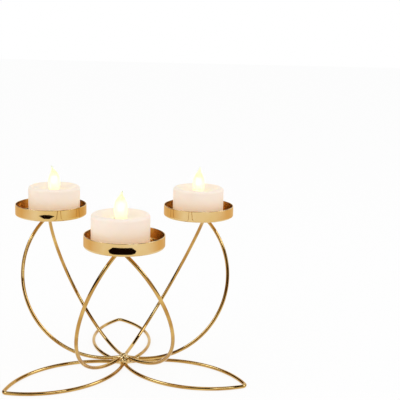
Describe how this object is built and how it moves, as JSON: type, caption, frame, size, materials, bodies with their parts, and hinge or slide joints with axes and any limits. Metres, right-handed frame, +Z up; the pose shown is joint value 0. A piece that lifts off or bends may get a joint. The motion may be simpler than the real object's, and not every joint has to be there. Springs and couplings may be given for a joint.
{
  "type": "tealight stand",
  "caption": "Gilt bent-wire lotus tealight stand: raised wire petals carry shallow cups with lit LED tealights, flat wire petals are the feet",
  "frame": {"origin": "on the table under the middle of the centre weld", "axes": "+Z up, front cup towards -Y, right cup towards +X and +Y"},
  "size_m": [0.166, 0.1844, 0.1416],
  "materials": {
    "gilt_wire": "polished gold electroplate on bent iron wire",
    "gilt_cup": "polished gold electroplate on pressed iron",
    "gilt_weld": "gold electroplate over a rough weld",
    "candle_wax": "wax-like, slightly translucent ivory",
    "flame": "translucent soft plastic lit from inside",
    "lamp": "clear lamp body",
    "tinned_leg": "tinned wire",
    "cell_steel": "nickelled steel can",
    "base_plastic": "fine matt moulded plastic",
    "knob_plastic": "fine matt moulded plastic"
  },
  "bodies": {
    "stand": {"centre_weld": "gilt_weld", "cup_floor_front": "gilt_cup", "cup_floor_left": "gilt_cup", "cup_floor_right": "gilt_cup", "cup_front": "gilt_cup", "cup_left": "gilt_cup", "cup_right": "gilt_cup", "cup_weld_front": "gilt_weld", "cup_weld_left": "gilt_weld", "cup_weld_right": "gilt_weld", "foot_wire_left": "gilt_wire", "foot_wire_rear": "gilt_wire", "foot_wire_right": "gilt_wire", "petal_wire_front": "gilt_wire", "petal_wire_left": "gilt_wire", "petal_wire_right": "gilt_wire"},
    "candle_front": {"candle_shell_front": "candle_wax", "flame_front": "flame", "led_front": "lamp", "led_legs_front": "tinned_leg", "coin_cell_front": "cell_steel", "candle_base_front": "base_plastic"},
    "switch_front": {"switch_knob_front": "knob_plastic"},
    "door_front": {"battery_door_front": "base_plastic"},
    "candle_right": {"candle_shell_right": "candle_wax", "flame_right": "flame", "led_right": "lamp", "led_legs_right": "tinned_leg", "coin_cell_right": "cell_steel", "candle_base_right": "base_plastic"},
    "switch_right": {"switch_knob_right": "knob_plastic"},
    "door_right": {"battery_door_right": "base_plastic"},
    "candle_left": {"candle_shell_left": "candle_wax", "flame_left": "flame", "led_left": "lamp", "led_legs_left": "tinned_leg", "coin_cell_left": "cell_steel", "candle_base_left": "base_plastic"},
    "switch_left": {"switch_knob_left": "knob_plastic"},
    "door_left": {"battery_door_left": "base_plastic"}
  },
  "joints": [
    {"name": "lift_front", "type": "slide", "parent": "stand", "child": "candle_front", "axis": [0, 0, 1], "range_m": [0, 0.06]},
    {"name": "switch_slide_front", "type": "slide", "parent": "candle_front", "child": "switch_front", "axis": [0.4226, -0.9063, 0], "range_m": [0, 0.002]},
    {"name": "door_turn_front", "type": "hinge", "parent": "candle_front", "child": "door_front", "pos_m": [-0.00251, -0.0632, 0.10742], "axis": [0, 0, 1], "range_deg": [0, 30]},
    {"name": "lift_right", "type": "slide", "parent": "stand", "child": "candle_right", "axis": [0, 0, 1], "range_m": [0, 0.06]},
    {"name": "switch_slide_right", "type": "slide", "parent": "candle_right", "child": "switch_right", "axis": [0.5, 0.866, 0], "range_m": [0, 0.002]},
    {"name": "door_turn_right", "type": "hinge", "parent": "candle_right", "child": "door_right", "pos_m": [0.05427, 0.0316, 0.10742], "axis": [0, 0, 1], "range_deg": [0, 30]},
    {"name": "lift_left", "type": "slide", "parent": "stand", "child": "candle_left", "axis": [0, 0, 1], "range_m": [0, 0.06]},
    {"name": "switch_slide_left", "type": "slide", "parent": "candle_left", "child": "switch_left", "axis": [-1, 0, 0], "range_m": [0, 0.002]},
    {"name": "door_turn_left", "type": "hinge", "parent": "candle_left", "child": "door_left", "pos_m": [-0.05236, 0.0316, 0.10742], "axis": [0, 0, 1], "range_deg": [0, 30]}
  ]
}
